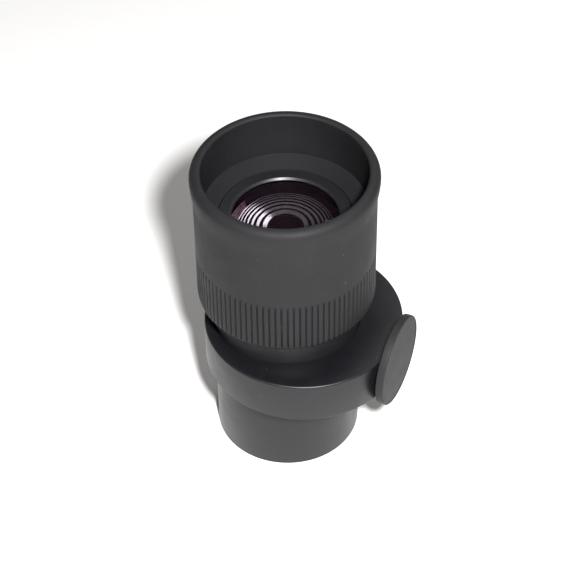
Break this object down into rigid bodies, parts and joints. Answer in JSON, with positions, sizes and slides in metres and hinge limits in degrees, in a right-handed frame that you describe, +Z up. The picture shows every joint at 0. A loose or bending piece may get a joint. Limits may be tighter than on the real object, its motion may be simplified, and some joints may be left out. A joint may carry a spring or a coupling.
{
  "type": "telescope eyepiece",
  "caption": "Two-inch telescope eyepiece with deep rubber eyecup, ribbed twist-focus grip, illuminated-reticle housing set off to one side and a round dimmer knob.",
  "frame": {"origin": "centre of the open lower end of the push-fit barrel, on the optical axis", "axes": "+Z up the optical axis towards the observer's eye, +X out through the centre of the dimmer knob"},
  "size_m": [0.0741, 0.069, 0.1175],
  "materials": {
    "barrel_anodised": "satin black anodised",
    "housing_anodised": "semi-gloss black anodised",
    "grip_rubber": "matt moulded rubber",
    "knob_black": "fine matt black",
    "matt_black": "matt black baffle paint",
    "optical_glass": "polished, violet anti-reflection coating",
    "plain_steel": "plain machined",
    "plain_brass": "plain machined",
    "black_plastic": "moulded",
    "circuit_green": "solder resist",
    "led_red": "clear tinted epoxy"
  },
  "bodies": {
    "base": {"nosepiece_barrel": "barrel_anodised", "housing_shell": "housing_anodised", "housing_base": "housing_anodised", "neck_tube": "barrel_anodised", "reticle_cell": "matt_black", "reticle_glass": "optical_glass", "reticle_retainer": "matt_black", "guide_screw": "plain_brass", "base_screw_1": "plain_steel", "base_screw_2": "plain_steel", "base_screw_3": "plain_steel", "dimmer_body": "black_plastic", "dimmer_rear_cover": "plain_steel", "dimmer_nut": "plain_brass", "led_holder": "black_plastic", "led_lamp": "led_red", "circuit_board": "circuit_green", "battery_sleeve": "black_plastic", "battery_contact": "plain_brass", "battery_spring": "plain_steel", "button_cell_1": "plain_steel", "button_cell_2": "plain_steel"},
    "lens_carrier": {"lens_tube": "barrel_anodised", "lens_retainer": "matt_black", "eye_lens_outer": "optical_glass", "eye_lens_inner": "optical_glass", "eye_spacer": "matt_black", "element_spacer": "matt_black", "middle_lens": "optical_glass", "field_spacer": "matt_black", "field_lens_outer": "optical_glass", "field_lens_inner": "optical_glass", "field_retainer": "matt_black"},
    "focus_grip": {"focus_ring": "barrel_anodised", "capture_ring": "plain_steel", "eyecup_sleeve": "grip_rubber"},
    "dimmer_control": {"dimmer_knob": "knob_black", "dimmer_rotor": "plain_brass"},
    "battery_door": {"battery_cap": "housing_anodised"}
  },
  "joints": [
    {"name": "focus_slide", "type": "slide", "parent": "base", "child": "lens_carrier", "axis": [0, 0, 1], "range_m": [-0.004, 0.004]},
    {"name": "focus_turn", "type": "hinge", "parent": "lens_carrier", "child": "focus_grip", "pos_m": [0, 0, 0.08], "axis": [0, 0, 1], "range_deg": [-180, 180]},
    {"name": "dimmer_turn", "type": "hinge", "parent": "base", "child": "dimmer_control", "pos_m": [0.0412, 0, 0.04465], "axis": [-1, 0, 0], "range_deg": [0, 270]},
    {"name": "battery_cap_turn", "type": "hinge", "parent": "base", "child": "battery_door", "pos_m": [0.02588, 0.01812, 0.0376], "axis": [0, 0, -1], "range_deg": [0, 60]}
  ],
  "couplings": [
    {"joint": "focus_turn", "follows": "focus_slide", "rad_per_m": 785.4}
  ]
}
